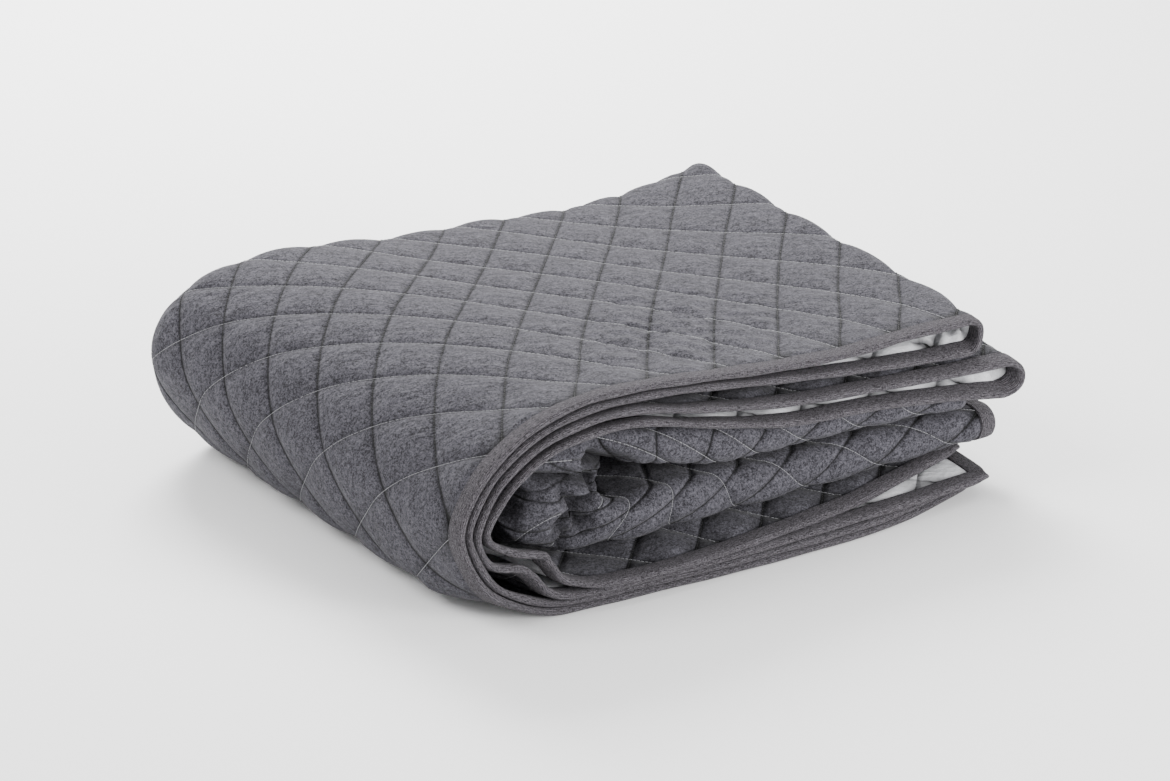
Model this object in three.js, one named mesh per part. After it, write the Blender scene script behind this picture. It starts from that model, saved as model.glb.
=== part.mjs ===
import * as THREE from 'three';

// A quilted bedspread folded to sixteen layers. Millimetres, +Z up, lying on z = 0.
// The cut sheet: u runs along its length, v across its width.
const SHEET_LENGTH = 2700;
const SHEET_WIDTH = 2200;

// The quilting: width and height of one diamond along u and v, and where its first crossing lies.
const DIAMOND_U = SHEET_LENGTH / 34;
const DIAMOND_V = SHEET_WIDTH / 23;
const CROSSING_U = 0.16 * DIAMOND_U;
const CROSSING_V = 0.65 * DIAMOND_V;

// Heights of the cloth faces above and below the middle of the sheet.
const FACE_AT_STITCH = 1.6;
const FACE_PUFF = 2.6;
const BACK_AT_STITCH = 1.4;
const BACK_PUFF = 1.2;
const PRESSED = 1.6;
const SOLE_DEPTH = 7;
const PARTING = 0.3;

// The binding is a strip folded over the raw edge.
const BINDING_WIDTH = 15;
const BINDING_CLOTH = 1;
const BINDING_PARTING = 0.4;
const BINDING_NOSE = 3;
const BINDING_EASE = 1.3;
const CLOTH_ROUGHNESS = 0.95;

// First fold: the sheet is doubled along u, and this much of its length makes the turn.
const HALF_LENGTH = SHEET_LENGTH / 2;
const TURN_LENGTH = 16;
const TURN_BULGE = 0.55;

// Second and third folds: the doubled sheet goes back, front and back again along y.
const BACK_FOLD_Y = 238;
const ROLL_FRONT_Y = -272;
const ROLL_LENGTH = 105;
const FOLD_RADIUS_Y = 11.5;
const SETTLE = { fromY: -296, toY: -200 };
const MIDWAY_Y = 20;

// Fourth fold: the folded strip is bent left into a C that holds its roll inside.
// Each row is one station of the C, from the lower right end round the left side to the upper right.
// out: [x, z] of the outermost face at the front edge; body: the same just behind it; back: the same
// at the back folds; inner: [x, z] of the innermost crease; depths: the middle of each layer below
// the outermost face.
const SECTION = [
  {
    out: [285, 0], body: [285, 0], back: [285, 0], inner: [285, 80],
    depths: [3.5, 12, 21, 31.5, 41.5, 52, 63.5, 75],
  },
  {
    out: [150, 0], body: [150, 0], back: [150, 0], inner: [160, 86],
    depths: [3.5, 12, 20.5, 29, 39.5, 52.5, 67, 81],
  },
  {
    out: [0, 0], body: [0, 0], back: [0, 0], inner: [40, 88],
    depths: [3.5, 12, 20.5, 29, 41.5, 57, 73.5, 90],
  },
  {
    out: [-130, 0], body: [-130, 0], back: [-135, 0], inner: [-50, 92],
    depths: [3.5, 12, 20.5, 29, 49, 71.5, 94, 116],
  },
  {
    out: [-200, 0], body: [-207, 0], back: [-218, 0], inner: [-88, 94],
    depths: [3.5, 12.5, 21.5, 33, 64, 90, 115, 140],
  },
  {
    out: [-245, 3], body: [-270, 0], back: [-278, 0], inner: [-106, 95],
    depths: [4, 13.5, 26, 48, 76, 104, 131, 158],
  },
  {
    out: [-285, 20], body: [-313, 9], back: [-316, 7], inner: [-120, 96],
    depths: [4.5, 14, 34, 60, 86, 115, 144, 172],
  },
  {
    out: [-317, 43], body: [-340, 32], back: [-346, 36], inner: [-132, 98],
    depths: [4.5, 14, 31, 52, 82, 116, 150, 183],
  },
  {
    out: [-340, 80], body: [-352, 74], back: [-373, 78], inner: [-141, 102],
    depths: [4.5, 14, 25, 43, 78, 115, 152, 189],
  },
  {
    out: [-349, 112], body: [-354, 113], back: [-384, 120], inner: [-144, 108],
    depths: [4.5, 14, 25, 40, 75, 114, 154, 194],
  },
  {
    out: [-338, 145], body: [-341, 147], back: [-372, 155], inner: [-140, 115],
    depths: [5, 15, 26, 40, 72, 110, 149, 189],
  },
  {
    out: [-310, 180], body: [-310, 178], back: [-343, 186], inner: [-132, 119],
    depths: [5, 15, 26, 41, 70, 106, 142, 178],
  },
  {
    out: [-262, 212], body: [-260, 202], back: [-294, 205], inner: [-120, 121],
    depths: [6, 17, 28, 43, 70, 100, 130, 160],
  },
  {
    out: [-200, 228], body: [-199, 213], back: [-229, 211], inner: [-100, 119],
    depths: [6.5, 18, 30, 47, 70, 94, 118, 141],
  },
  {
    out: [-140, 227], body: [-138, 213], back: [-160, 204], inner: [-70, 112],
    depths: [6, 17, 30, 47, 70, 90, 109, 128],
  },
  {
    out: [-70, 218], body: [-70, 207], back: [-84, 192], inner: [-20, 99],
    depths: [4.5, 14, 37, 57, 72, 89, 107, 125],
  },
  {
    out: [40, 203], body: [40, 198], back: [30, 184], inner: [55, 92],
    depths: [4.5, 16, 43, 66, 76, 86, 96, 106],
  },
  {
    out: [140, 195], body: [140, 192], back: [135, 173], inner: [140, 90],
    depths: [4.5, 22, 46, 67, 76, 84, 92, 100],
  },
  {
    out: [230, 196], body: [230, 191], back: [228, 174], inner: [225, 86],
    depths: [4.5, 37, 56, 82, 88, 94, 99.5, 105],
  },
  {
    out: [300, 193], body: [300, 190], back: [310, 186], inner: [300, 83],
    depths: [4.5, 44, 58, 94, 98, 101.5, 105, 108],
  },
];
const ARM_END = { upperX: 300, lowerX: 285 };
const OUTERMOST_DEPTH = 4.5;

// How far right each layer reaches at its upper turn and at its lower cut end, at the front and behind it.
const REACH = [
  { upperFront: 282, upperBody: 302, lowerFront: 303, lowerBody: 290 },
  { upperFront: 282, upperBody: 302, lowerFront: 303, lowerBody: 293 },
  { upperFront: 325, upperBody: 316, lowerFront: 297, lowerBody: 300 },
  { upperFront: 325, upperBody: 316, lowerFront: 293, lowerBody: 305 },
  { upperFront: 275, upperBody: 316, lowerFront: 333, lowerBody: 312 },
  { upperFront: 275, upperBody: 316, lowerFront: 333, lowerBody: 314 },
  { upperFront: 272, upperBody: 314, lowerFront: 333, lowerBody: 316 },
  { upperFront: 272, upperBody: 314, lowerFront: 333, lowerBody: 318 },
];
const LAYER_COUNT = REACH.length;
const LAYER_LEVELS = REACH.map((row, index) => index + 0.5);

// Where the bound front edges lie, along the C from its lower end to its upper one.
const FRONT_EDGES = [
  { along: 0, outerPair: -272, layerThree: -303, layerFour: -250 },
  { along: 0.04, outerPair: -290, layerThree: -306, layerFour: -266 },
  { along: 0.08, outerPair: -305, layerThree: -309, layerFour: -281 },
  { along: 0.12, outerPair: -312, layerThree: -310, layerFour: -294 },
  { along: 0.22, outerPair: -309, layerThree: -310, layerFour: -309 },
  { along: 0.3, outerPair: -300, layerThree: -304, layerFour: -310 },
  { along: 0.4, outerPair: -290, layerThree: -294, layerFour: -298 },
  { along: 0.5, outerPair: -285, layerThree: -286, layerFour: -287 },
  { along: 0.65, outerPair: -282, layerThree: -288, layerFour: -289 },
  { along: 1, outerPair: -275, layerThree: -288, layerFour: -288 },
];

// How much deeper the third and fourth layers lie along the C where they crumple at the front edge.
const CRUMPLE = [
  { along: 0, layerThree: 0, layerFour: 0 },
  { along: 0.33, layerThree: 0, layerFour: 0 },
  { along: 0.37, layerThree: -1, layerFour: -2 },
  { along: 0.4, layerThree: -2, layerFour: -8 },
  { along: 0.422, layerThree: 6, layerFour: 0 },
  { along: 0.443, layerThree: 13, layerFour: 16 },
  { along: 0.466, layerThree: -1, layerFour: 4 },
  { along: 0.485, layerThree: 0, layerFour: -8 },
  { along: 0.505, layerThree: 0, layerFour: -4 },
  { along: 0.53, layerThree: 0, layerFour: 0 },
  { along: 1, layerThree: 0, layerFour: 0 },
];

// Each bend of the sheet across its width is cut into this many flat steps.
const BEND_STEPS = { outerBend: 6, roll: 5, innerBend: 4 };
const HIDDEN_ROWS = 3;
const END_ROW = 54;
const CRUMPLED = { from: 0.38, to: 0.44 };
const QUILTED_FROM = 0.38;
const LOOP_FROM = 0.34;
const LOOP_TO = 0.66;
const ARM_BLEND = 0.1;
const TANGENT_STEP = 0.01;
const NORMAL_STEP = 0.5;
const ROW_CLEARANCE = 14;
const KEY_MATCH = 0.01;
const BOUND_KEY = 0.02;
const FACE_SIDE_LIMIT = 0.4;

const clamp = (value, low, high) => Math.min(Math.max(value, low), high);
const mix = (a, b, t) => a + (b - a) * t;

function ease(t) {
  const k = clamp(t, 0, 1);
  return k * k * (3 - 2 * k);
}

// A smooth curve through values at uneven knots.
function spline(knots, values, at) {
  const last = knots.length - 1;
  const x = clamp(at, knots[0], knots[last]);
  let i = 0;
  while (i < last - 1 && x > knots[i + 1]) {
    i += 1;
  }
  const slope = (j) => {
    const a = Math.max(j - 1, 0);
    const b = Math.min(j + 1, last);
    return (values[b] - values[a]) / (knots[b] - knots[a]);
  };
  const h = knots[i + 1] - knots[i];
  const t = (x - knots[i]) / h;
  const t2 = t * t;
  const t3 = t2 * t;
  return (2 * t3 - 3 * t2 + 1) * values[i] + (t3 - 2 * t2 + t) * h * slope(i)
    + (3 * t2 - 2 * t3) * values[i + 1] + (t3 - t2) * h * slope(i + 1);
}

// Stations are spaced by their distance along the outermost face.
function stationSpacing() {
  const lengths = [0];
  for (let i = 1; i < SECTION.length; i += 1) {
    const a = SECTION[i - 1];
    const b = SECTION[i];
    lengths.push(lengths[i - 1] + Math.hypot(b.out[0] - a.out[0], b.out[1] - a.out[1]));
  }
  return lengths.map((length) => length / lengths[lengths.length - 1]);
}

const STATIONS = stationSpacing();
const column = (rows, name) => rows.map((row) => row[name]);
const SECTION_X = {};
const SECTION_Z = {};
['out', 'body', 'back', 'inner'].forEach((name) => {
  SECTION_X[name] = SECTION.map((row) => row[name][0]);
  SECTION_Z[name] = SECTION.map((row) => row[name][1]);
});
const DEPTH_COLUMNS = LAYER_LEVELS.map((level, index) => SECTION.map((row) => row.depths[index]));
const EDGE_ALONG = column(FRONT_EDGES, 'along');
const frontEdge = (name, along) => spline(EDGE_ALONG, column(FRONT_EDGES, name), along);
const CRUMPLE_ALONG = column(CRUMPLE, 'along');
const crumple = (name, along) => spline(CRUMPLE_ALONG, column(CRUMPLE, name), along);

// A point of one of the section's curves.
function station(name, along) {
  const x = spline(STATIONS, SECTION_X[name], along);
  return new THREE.Vector2(x, spline(STATIONS, SECTION_Z[name], along));
}

// The outermost face at one place along the C, from the front edge over the body to the back folds.
function outerFace(along, { settled, rear }) {
  return station('out', along).lerp(station('body', along), settled).lerp(station('back', along), rear);
}

// The unit direction square to the outermost face, pointing into the bundle.
function inwardSquare(along, shares) {
  const ahead = outerFace(Math.min(along + TANGENT_STEP, 1), shares);
  const behind = outerFace(Math.max(along - TANGENT_STEP, 0), shares);
  const tangent = ahead.sub(behind).normalize();
  return new THREE.Vector2(tangent.y, -tangent.x);
}

// A point of the C: along runs from its lower end to its upper one, level from 0 outside to 8 inside.
function sectionPoint(along, level, y) {
  const settled = clamp((y - SETTLE.fromY) / (SETTLE.toY - SETTLE.fromY), 0, 1);
  const rear = clamp((y - SETTLE.toY) / (BACK_FOLD_Y - SETTLE.toY), 0, 1);
  const shares = { settled, rear };
  const outer = outerFace(along, shares);
  const inner = station('inner', along);
  const total = outer.distanceTo(inner);
  const arm = Math.max(ease((LOOP_FROM - along) / ARM_BLEND), ease((along - LOOP_TO) / ARM_BLEND));
  const depths = DEPTH_COLUMNS.map((values, index) => mix(
    spline(STATIONS, values, along),
    mix(OUTERMOST_DEPTH, total - OUTERMOST_DEPTH, index / (LAYER_COUNT - 1)),
    settled * arm,
  ));
  depths[2] += (1 - settled) * crumple('layerThree', along);
  depths[3] += (1 - settled) * crumple('layerFour', along);
  const share = spline([0, ...LAYER_LEVELS, LAYER_COUNT], [0, ...depths, total], level) / total;

  // The layers leave the outermost face squarely and lean towards the inner crease as they go in.
  const direct = inner.clone().sub(outer).divideScalar(total);
  const lean = 1 - (1 - clamp(share, 0, 1)) ** 2;
  const point = outer.clone().addScaledVector(inwardSquare(along, shares), share * total * (1 - lean));
  point.addScaledVector(direct, share * total * lean);

  const reach = (name) => spline(LAYER_LEVELS, column(REACH, name), level);
  const upper = ease((along - LOOP_TO) / (1 - LOOP_TO)) ** 2;
  const lower = ease((LOOP_FROM - along) / LOOP_FROM) ** 2;
  point.x += upper * (mix(reach('upperFront'), reach('upperBody'), settled) - ARM_END.upperX);
  point.x += lower * (mix(reach('lowerFront'), reach('lowerBody'), settled) - ARM_END.lowerX);
  return point;
}

// The sheet across its width: straight runs joined by half turns about a level, radii in levels.
function widthPath(along, side) {
  const firstFront = frontEdge('outerPair', along);
  const lastFront = mix(frontEdge('layerFour', along), frontEdge('layerThree', along), side + 0.5);
  const rollY = ROLL_FRONT_Y + 2 * FOLD_RADIUS_Y;
  const straight = (name, fromY, toY, level) => (
    { name, fromY, toward: Math.sign(toY - fromY), length: Math.abs(toY - fromY), level }
  );
  const bend = (name, bendY, out, { pivot, radius, rise, length }) => (
    { name, bendY, out, pivot, radius, rise, length }
  );
  const halfTurn = Math.PI * FOLD_RADIUS_Y;
  return [
    straight('top', firstFront, BACK_FOLD_Y, 1 + side),
    bend('outerBend', BACK_FOLD_Y, 1, { pivot: 4, radius: 3 - side, rise: -1, length: 3 * halfTurn }),
    straight('deep', BACK_FOLD_Y, rollY, 7 - side),
    bend('roll', rollY, -1, { pivot: 6, radius: 1 - side, rise: 1, length: ROLL_LENGTH }),
    straight('middle', rollY, BACK_FOLD_Y, 5 + side),
    bend('innerBend', BACK_FOLD_Y, 1, { pivot: 4, radius: 1 + side, rise: 1, length: halfTurn }),
    straight('under', BACK_FOLD_Y, lastFront, 3 - side),
  ];
}

const pathLength = (path) => path.reduce((sum, run) => sum + run.length, 0);

// Where a place v across the width lies in the folded bundle: its y and its level.
function acrossPoint(v, along, side) {
  const path = widthPath(along, side);
  let rest = v / SHEET_WIDTH * pathLength(path);
  let index = 0;
  while (index < path.length - 1 && rest > path[index].length) {
    rest -= path[index].length;
    index += 1;
  }
  const run = path[index];
  if (run.fromY !== undefined) {
    return { y: run.fromY + run.toward * rest, level: run.level };
  }
  const angle = rest / run.length * Math.PI;
  return {
    y: run.bendY + run.out * run.radius * FOLD_RADIUS_Y * Math.sin(angle),
    level: run.pivot + run.rise * run.radius * Math.cos(angle),
  };
}

// How a place u along the length is doubled: its share of the way round the C, its side and its turn.
function doubled(u) {
  const fromTurn = u - HALF_LENGTH;
  const angle = clamp(fromTurn / TURN_LENGTH, -1, 1) * Math.PI / 2;
  return {
    along: clamp((HALF_LENGTH - Math.abs(fromTurn)) / (HALF_LENGTH - TURN_LENGTH), 0, 1),
    side: 0.5 * Math.sin(angle),
    bulge: Math.abs(fromTurn) < TURN_LENGTH ? TURN_BULGE * Math.cos(angle) : 0,
  };
}

function bundlePoint(v, along, side) {
  const { y, level } = acrossPoint(v, along, side);
  const point = sectionPoint(along, level, y);
  return new THREE.Vector3(point.x, y, point.y);
}

// The middle of the sheet at (u, v) in the folded bundle.
function sheetMiddle(u, v) {
  const inside = clamp(u, 0, SHEET_LENGTH);
  if (u !== inside) {
    const edge = sheetMiddle(inside, v);
    const within = sheetMiddle(inside - Math.sign(u - inside), v);
    return edge.clone().addScaledVector(edge.clone().sub(within), Math.abs(u - inside));
  }
  const { along, side, bulge } = doubled(u);
  const point = bundlePoint(v, along, side);
  if (bulge > 0) {
    point.x += bulge * bundlePoint(v, along, -0.5).distanceTo(bundlePoint(v, along, 0.5));
  }
  return point;
}

// The middle and its unit normal towards the dark face.
function sheetFrame(u, v) {
  const alongU = sheetMiddle(u + NORMAL_STEP, v).sub(sheetMiddle(u - NORMAL_STEP, v));
  const alongV = sheetMiddle(u, v + NORMAL_STEP).sub(sheetMiddle(u, v - NORMAL_STEP));
  return { middle: sheetMiddle(u, v), normal: alongU.cross(alongV).normalize() };
}

// Nothing reaches below the surface that the bundle lies on.
function raised(frame, height) {
  const point = frame.middle.clone().addScaledVector(frame.normal, height);
  point.z = Math.max(point.z, 0);
  return point;
}

// Diamond quilting: 0 on the stitch lines, 1 in the middle of each puff.
function puff(u, v) {
  const a = Math.PI * (u - CROSSING_U) / DIAMOND_U;
  const b = Math.PI * (v - CROSSING_V) / DIAMOND_V;
  return Math.abs(Math.sin(a + b) * Math.sin(a - b));
}

// The heights of the two faces: flat under the binding and inside, quilted where the sheet shows.
function faceHeights(u, v, quilted, along) {
  const bound = Math.min(u, SHEET_LENGTH - u, v, SHEET_WIDTH - v) < BINDING_WIDTH + 1;
  if (bound) {
    return { face: PRESSED, back: PRESSED };
  }
  if (quilted) {
    const q = puff(u, v);
    return { face: FACE_AT_STITCH + FACE_PUFF * q, back: BACK_AT_STITCH + BACK_PUFF * q };
  }
  const sole = u < HALF_LENGTH && v < SHEET_WIDTH / 4 && along < LOOP_FROM;
  return { face: sole ? SOLE_DEPTH : PRESSED, back: PRESSED };
}

// Where one run is cut: a bend into even steps, a straight run where the bundle settles and midway.
function runShares(run) {
  if (run.name in BEND_STEPS) {
    return Array.from({ length: BEND_STEPS[run.name] }, (step, k) => k / BEND_STEPS[run.name]);
  }
  const shares = [SETTLE.toY, MIDWAY_Y].map((y) => (y - run.fromY) * run.toward / run.length);
  const start = run.name === 'top' ? [] : [0];
  return [...start, ...shares.sort((a, b) => a - b)];
}

// The places across the width at which one row of the sheet is sampled, keyed by their run.
function rowSamples(u) {
  const { along, side } = doubled(u);
  const path = widthPath(along, side);
  const perLength = SHEET_WIDTH / pathLength(path);
  const quiltedRow = side < FACE_SIDE_LIMIT && along > QUILTED_FROM;
  const samples = [{ key: 0, v: 0 }, { key: BOUND_KEY, v: BINDING_WIDTH }];
  let start = 0;
  path.forEach((run, index) => {
    const runWidth = run.length * perLength;
    if (run.name === 'top' && quiltedRow) {
      const step = DIAMOND_V / 2;
      for (let v = CROSSING_V; v < runWidth - step / 2; v += step) {
        samples.push({ key: v / (runWidth + step), v, quilted: true });
      }
    } else {
      runShares(run).forEach((share) => {
        const quilted = quiltedRow && run.name === 'outerBend';
        samples.push({ key: index + share, v: start + share * runWidth, quilted });
      });
    }
    start += runWidth;
  });
  samples.push({ key: path.length - BOUND_KEY, v: SHEET_WIDTH - BINDING_WIDTH });
  samples.push({ key: path.length, v: SHEET_WIDTH });
  return samples;
}

// Rows along the length: on the quilting's own grid, fewer along the arms where they are hidden. The far
// half has its rows where the near half has them, so that the doubled layers lie square to each other.
function rowPlaces() {
  const turnFrom = HALF_LENGTH - TURN_LENGTH;
  const ends = [0, BINDING_WIDTH, END_ROW];
  const near = [...ends];
  const far = [...ends];
  for (let i = 0; CROSSING_U + i * DIAMOND_U / 2 < turnFrom - ROW_CLEARANCE; i += 1) {
    const u = CROSSING_U + i * DIAMOND_U / 2;
    const { along } = doubled(u);
    const sparse = i % HIDDEN_ROWS === 0 && u > END_ROW + ROW_CLEARANCE;
    const crumpled = along > CRUMPLED.from && along < CRUMPLED.to;
    const here = crumpled ? [u, u + DIAMOND_U / 4] : [u];
    if (sparse || along > LOOP_FROM) {
      near.push(...here);
    }
    if (sparse || (along > LOOP_FROM && along < LOOP_TO)) {
      far.push(...here);
    }
  }
  const turn = [turnFrom, turnFrom + TURN_LENGTH / 2];
  const mirrored = [...far, ...turn].map((u) => SHEET_LENGTH - u).reverse();
  return [...near, ...turn, HALF_LENGTH, ...mirrored];
}

function sheetGrid() {
  let count = 0;
  const sampledAt = (u) => {
    if (u <= BINDING_WIDTH) {
      return 0;
    }
    return u >= SHEET_LENGTH - BINDING_WIDTH ? SHEET_LENGTH : u;
  };
  return rowPlaces().map((u) => rowSamples(sampledAt(u)).map(({ key, v, quilted }) => {
    const vertex = { index: count, key, u, v, frame: sheetFrame(u, v) };
    vertex.heights = faceHeights(u, v, quilted, doubled(u).along);
    vertex.low = puff(u, v);
    count += 1;
    return vertex;
  }));
}

// Triangles between neighbouring rows, split along the stitch lines where both rows have a quad.
function gridTriangles(grid) {
  const triangles = [];
  for (let r = 0; r + 1 < grid.length; r += 1) {
    const near = grid[r];
    const far = grid[r + 1];
    let i = 0;
    let j = 0;
    while (i + 1 < near.length || j + 1 < far.length) {
      const nextNear = i + 1 < near.length ? near[i + 1].key : Infinity;
      const nextFar = j + 1 < far.length ? far[j + 1].key : Infinity;
      if (Math.abs(nextNear - nextFar) < KEY_MATCH) {
        const inEndBand = r === 0 || r === grid.length - 2;
        const inEdgeBand = i === 0 || i === near.length - 2;
        const alongStitch = near[i].low + far[j + 1].low < far[j].low + near[i + 1].low;
        const straight = inEndBand || (!inEdgeBand && alongStitch);
        if (straight) {
          triangles.push([near[i], far[j], far[j + 1]], [near[i], far[j + 1], near[i + 1]]);
        } else {
          triangles.push([near[i], far[j], near[i + 1]], [far[j], far[j + 1], near[i + 1]]);
        }
        i += 1;
        j += 1;
      } else if (nextNear < nextFar) {
        triangles.push([near[i], far[j], near[i + 1]]);
        i += 1;
      } else {
        triangles.push([near[i], far[j], far[j + 1]]);
        j += 1;
      }
    }
  }
  return triangles.map((corners) => corners.map((vertex) => vertex.index));
}

// The sheet's edge, once round: front edge, far end, last edge, near end.
function gridEdge(grid) {
  const first = grid.map((row) => row[0]);
  const last = grid.map((row) => row[row.length - 1]);
  const near = grid[0];
  const far = grid[grid.length - 1];
  return [
    ...first.slice(0, -1),
    ...far.slice(0, -1),
    ...last.slice(1).reverse(),
    ...near.slice(1).reverse(),
  ];
}

function solidGeometry(points, triangles) {
  const geometry = new THREE.BufferGeometry();
  const positions = points.flatMap((point) => point.toArray());
  geometry.setAttribute('position', new THREE.Float32BufferAttribute(positions, 3));
  geometry.setIndex(triangles.flat());
  geometry.computeVertexNormals();
  return geometry;
}

// A closed cloth between two heights of the sheet.
function clothGeometry(grid, lowHeight, highHeight) {
  const vertices = grid.flat();
  const count = vertices.length;
  const points = [
    ...vertices.map((vertex) => raised(vertex.frame, highHeight(vertex))),
    ...vertices.map((vertex) => raised(vertex.frame, lowHeight(vertex))),
  ];
  const upper = gridTriangles(grid);
  const lower = upper.map(([a, b, c]) => [a + count, c + count, b + count]);
  const edge = gridEdge(grid).map((vertex) => vertex.index);
  const walls = edge.flatMap((a, k) => {
    const b = edge[(k + 1) % edge.length];
    return [[a, a + count, b], [b, a + count, b + count]];
  });
  return solidGeometry(points, [...upper, ...lower, ...walls]);
}

// The strip's section: inset from the cut edge and height above the sheet's middle.
function bindingSection() {
  const inner = PRESSED + BINDING_PARTING;
  const outer = inner + BINDING_CLOTH;
  return [
    { inset: BINDING_WIDTH, height: outer },
    { inset: -BINDING_EASE, height: outer },
    { inset: -BINDING_EASE - BINDING_NOSE, height: 0 },
    { inset: -BINDING_EASE, height: -outer },
    { inset: BINDING_WIDTH, height: -outer },
    { inset: BINDING_WIDTH, height: -inner },
    { inset: -BINDING_EASE, height: -inner },
    { inset: -BINDING_EASE, height: inner },
    { inset: BINDING_WIDTH, height: inner },
  ];
}

// Which way the sheet lies from its edge: corners point along both axes.
function inwardFrom(u, v) {
  const towards = (at, span) => Number(at === 0) - Number(at === span);
  return { du: towards(u, SHEET_LENGTH), dv: towards(v, SHEET_WIDTH) };
}

function bindingGeometry(grid) {
  const section = bindingSection();
  const isCorner = ({ u, v }) => inwardFrom(u, v).du !== 0 && inwardFrom(u, v).dv !== 0;
  const nearCorner = ({ u, v }) => {
    const away = [Math.min(u, SHEET_LENGTH - u), Math.min(v, SHEET_WIDTH - v)];
    return Math.max(...away) <= BINDING_WIDTH;
  };
  const places = gridEdge(grid).filter((vertex) => isCorner(vertex) || !nearCorner(vertex));
  const points = places.flatMap(({ u, v }) => {
    const { du, dv } = inwardFrom(u, v);
    return section.map(({ inset, height }) => raised(sheetFrame(u + du * inset, v + dv * inset), height));
  });
  const triangles = [];
  places.forEach((place, k) => {
    const here = k * section.length;
    const next = ((k + 1) % places.length) * section.length;
    section.forEach((corner, m) => {
      const n = (m + 1) % section.length;
      if (corner.inset > section[n].inset) {
        triangles.push([here + m, here + n, next + n], [here + m, next + n, next + m]);
      } else {
        triangles.push([here + m, here + n, next + m], [next + m, here + n, next + n]);
      }
    });
  });
  return solidGeometry(points, triangles);
}

function cloth(name, geometry, colour) {
  const material = new THREE.MeshStandardMaterial({ color: colour, roughness: CLOTH_ROUGHNESS });
  const mesh = new THREE.Mesh(geometry, material);
  mesh.name = name;
  return mesh;
}

const grid = sheetGrid();
const faceGeometry = clothGeometry(grid, () => PARTING / 2, ({ heights }) => heights.face);
const backGeometry = clothGeometry(grid, ({ heights }) => -heights.back, () => -PARTING / 2);
const bedspread = new THREE.Group();
bedspread.name = 'bedspread';
bedspread.add(
  cloth('face_cloth', faceGeometry, 0x5c5c63),
  cloth('back_cloth', backGeometry, 0xbcbcc2),
  cloth('edge_binding', bindingGeometry(grid), 0x4b494e),
);

// The origin is the middle of the underside.
const bounds = new THREE.Box3().setFromObject(bedspread);
const middle = bounds.getCenter(new THREE.Vector3());
bedspread.position.set(-middle.x, -middle.y, -bounds.min.z);

export default bedspread;
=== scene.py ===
import math

import bpy
import numpy as np
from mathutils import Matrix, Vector
from mathutils.bvhtree import BVHTree


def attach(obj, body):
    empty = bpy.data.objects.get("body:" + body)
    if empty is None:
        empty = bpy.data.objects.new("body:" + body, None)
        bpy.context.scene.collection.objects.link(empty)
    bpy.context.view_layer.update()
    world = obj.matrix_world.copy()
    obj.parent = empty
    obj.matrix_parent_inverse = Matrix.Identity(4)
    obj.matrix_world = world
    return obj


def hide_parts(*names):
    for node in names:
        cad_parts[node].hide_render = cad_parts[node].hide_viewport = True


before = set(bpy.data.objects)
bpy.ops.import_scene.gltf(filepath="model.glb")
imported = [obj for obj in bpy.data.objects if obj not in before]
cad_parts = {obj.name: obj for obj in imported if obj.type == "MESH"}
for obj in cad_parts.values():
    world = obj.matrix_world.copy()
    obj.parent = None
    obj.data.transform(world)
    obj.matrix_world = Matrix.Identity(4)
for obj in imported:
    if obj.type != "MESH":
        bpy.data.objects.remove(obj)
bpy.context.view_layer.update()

# The cut sheet: u runs along its length, v across its width. Metres.
sheet = {
    "length": 2.700, "width": 2.200, "diamondU": 2.700 / 34, "diamondV": 2.200 / 23,
    "phaseA": 0.191, "phaseB": 0.484, "lineGap": 0.0611,
}

# How the stitch lines drift where the top has settled: powers of the place, first along u, then along v.
drift = {
    "middle": (1.0, 0.3), "scale": (0.35, 0.3), "low": (0.58, 0.0), "high": (1.34, 0.54),
    "shownU": (0.33, 0.45), "shownV": (0.74, 0.64),
    "powers": ((0, 1), (0, 2), (0, 3), (1, 0), (1, 1), (1, 2), (2, 0), (2, 1), (3, 0)),
    "lineA": (0.067, 0.323, -0.194, 0.319, -0.225, 0.150, 0.114, -0.306, -0.297),
    "lineB": (-0.217, -0.341, 0.127, -0.001, 0.305, 0.193, 0.346, -0.013, -0.047),
}

# How the sheet is folded: doubled along u, twice doubled along v, then bent into a C.
fold = {
    "half": 1.350, "turn": 0.016, "bulge": 0.55, "backY": 0.238, "rollY": -0.272, "radius": 0.0115,
    "settleFrom": -0.296, "settleTo": -0.200, "loopFrom": 0.34, "loopTo": 0.66, "armBlend": 0.1,
    "upperX": 0.300, "lowerX": 0.285, "layers": 8, "topDepth": 0.0045, "tangentStep": 0.01,
    "rollLength": 0.105, "backPush": 1.3, "offGround": 0.0004, "origin": (0.014845, 0.016690, 0.0),
}

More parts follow.
